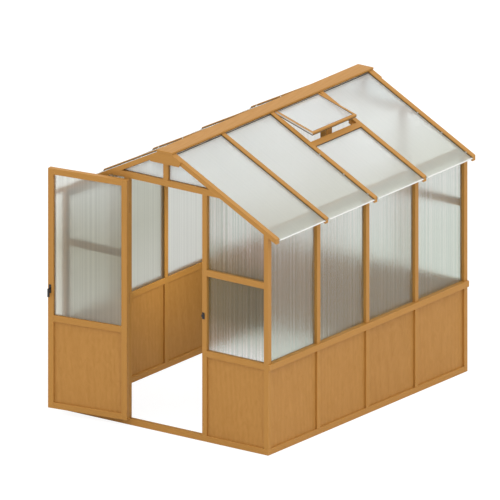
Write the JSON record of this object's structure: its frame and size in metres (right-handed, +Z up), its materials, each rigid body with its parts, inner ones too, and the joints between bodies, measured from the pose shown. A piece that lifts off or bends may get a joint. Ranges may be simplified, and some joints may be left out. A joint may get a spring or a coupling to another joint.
{
  "type": "wooden greenhouse",
  "caption": "Wooden apex greenhouse with twin-wall panes above timber panels, a hinged door with a lever handle and a hinged roof vent on a stay.",
  "frame": {"origin": "centre of the front sill's underside, on the ground below the doorway", "axes": "+X to the right seen from the front, +Y from the door towards the rear wall, +Z up"},
  "size_m": [1.9792, 2.6226, 2.1332],
  "materials": {
    "timber": "smooth stained softwood",
    "panel": "smooth stained board",
    "pane": "translucent fluted twin-wall sheet",
    "hinge_steel": "zinc plated",
    "black_hardware": "black satin"
  },
  "bodies": {
    "frame": {"front_sill": "timber", "rear_sill": "timber", "side_sills": "timber", "corner_posts": "timber", "side_wall_posts": "timber", "left_door_jamb": "timber", "right_door_jamb": "timber", "rear_wall_studs": "timber", "left_dado_rail": "timber", "right_dado_rail": "timber", "front_dado_rails": "timber", "rear_dado_rails": "timber", "front_transoms": "timber", "rear_transoms": "timber", "tie_beams": "timber", "king_posts": "timber", "eave_plates": "timber", "ridge_beam": "timber", "ridge_board": "timber", "gusset_plates": "timber", "left_rafters": "timber", "right_rafters": "timber", "vent_trimmer": "timber", "vent_header": "timber", "vent_cleats": "timber", "left_roof_panes": "pane", "right_roof_panes": "pane", "vent_bay_pane": "pane", "left_wall_panes": "pane", "right_wall_panes": "pane", "front_wall_panes": "pane", "rear_wall_panes": "pane", "gable_panes": "pane", "left_wall_panels": "panel", "right_wall_panels": "panel", "front_wall_panels": "panel", "rear_wall_panels": "panel", "vent_hinge_fixed_leaves": "hinge_steel", "vent_hinge_pins": "hinge_steel", "door_hinge_fixed_leaves": "hinge_steel", "door_hinge_pins": "hinge_steel", "door_keeper": "black_hardware"},
    "door": {"door_hinge_stile": "timber", "door_latch_stile": "timber", "door_top_rail": "timber", "door_middle_rail": "timber", "door_bottom_rail": "timber", "door_pane": "pane", "door_panel": "panel", "door_hinge_moving_leaves": "hinge_steel", "handle_plates": "black_hardware"},
    "handle": {"handle_inner_lever": "black_hardware", "handle_outer_lever": "black_hardware"},
    "vent": {"vent_side_rails": "timber", "vent_top_rail": "timber", "vent_bottom_rail": "timber", "vent_pane": "pane", "vent_hinge_moving_leaves": "hinge_steel", "vent_stay_bracket": "hinge_steel"},
    "stay": {"vent_stay": "timber"}
  },
  "joints": [
    {"name": "door_hinge", "type": "hinge", "parent": "frame", "child": "door", "pos_m": [-0.3179, -0.026, 0.95], "axis": [0, 0, 1], "range_deg": [-3, 172]},
    {"name": "handle_turn", "type": "hinge", "parent": "door", "child": "handle", "pos_m": [-0.92765, -0.13795, 0.95], "axis": [-0.1392, 0.9903, 0], "range_deg": [0, 90]},
    {"name": "vent_hinge", "type": "hinge", "parent": "frame", "child": "vent", "pos_m": [0.05969, 1.5, 2.10771], "axis": [0, -1, 0], "range_deg": [-10, 15]},
    {"name": "stay_pivot", "type": "hinge", "parent": "vent", "child": "stay", "pos_m": [0.34932, 1.5, 1.99463], "axis": [0, -1, 0], "range_deg": [-15, 10]}
  ],
  "couplings": [
    {"joint": "stay_pivot", "follows": "vent_hinge", "ratio": -1}
  ]
}
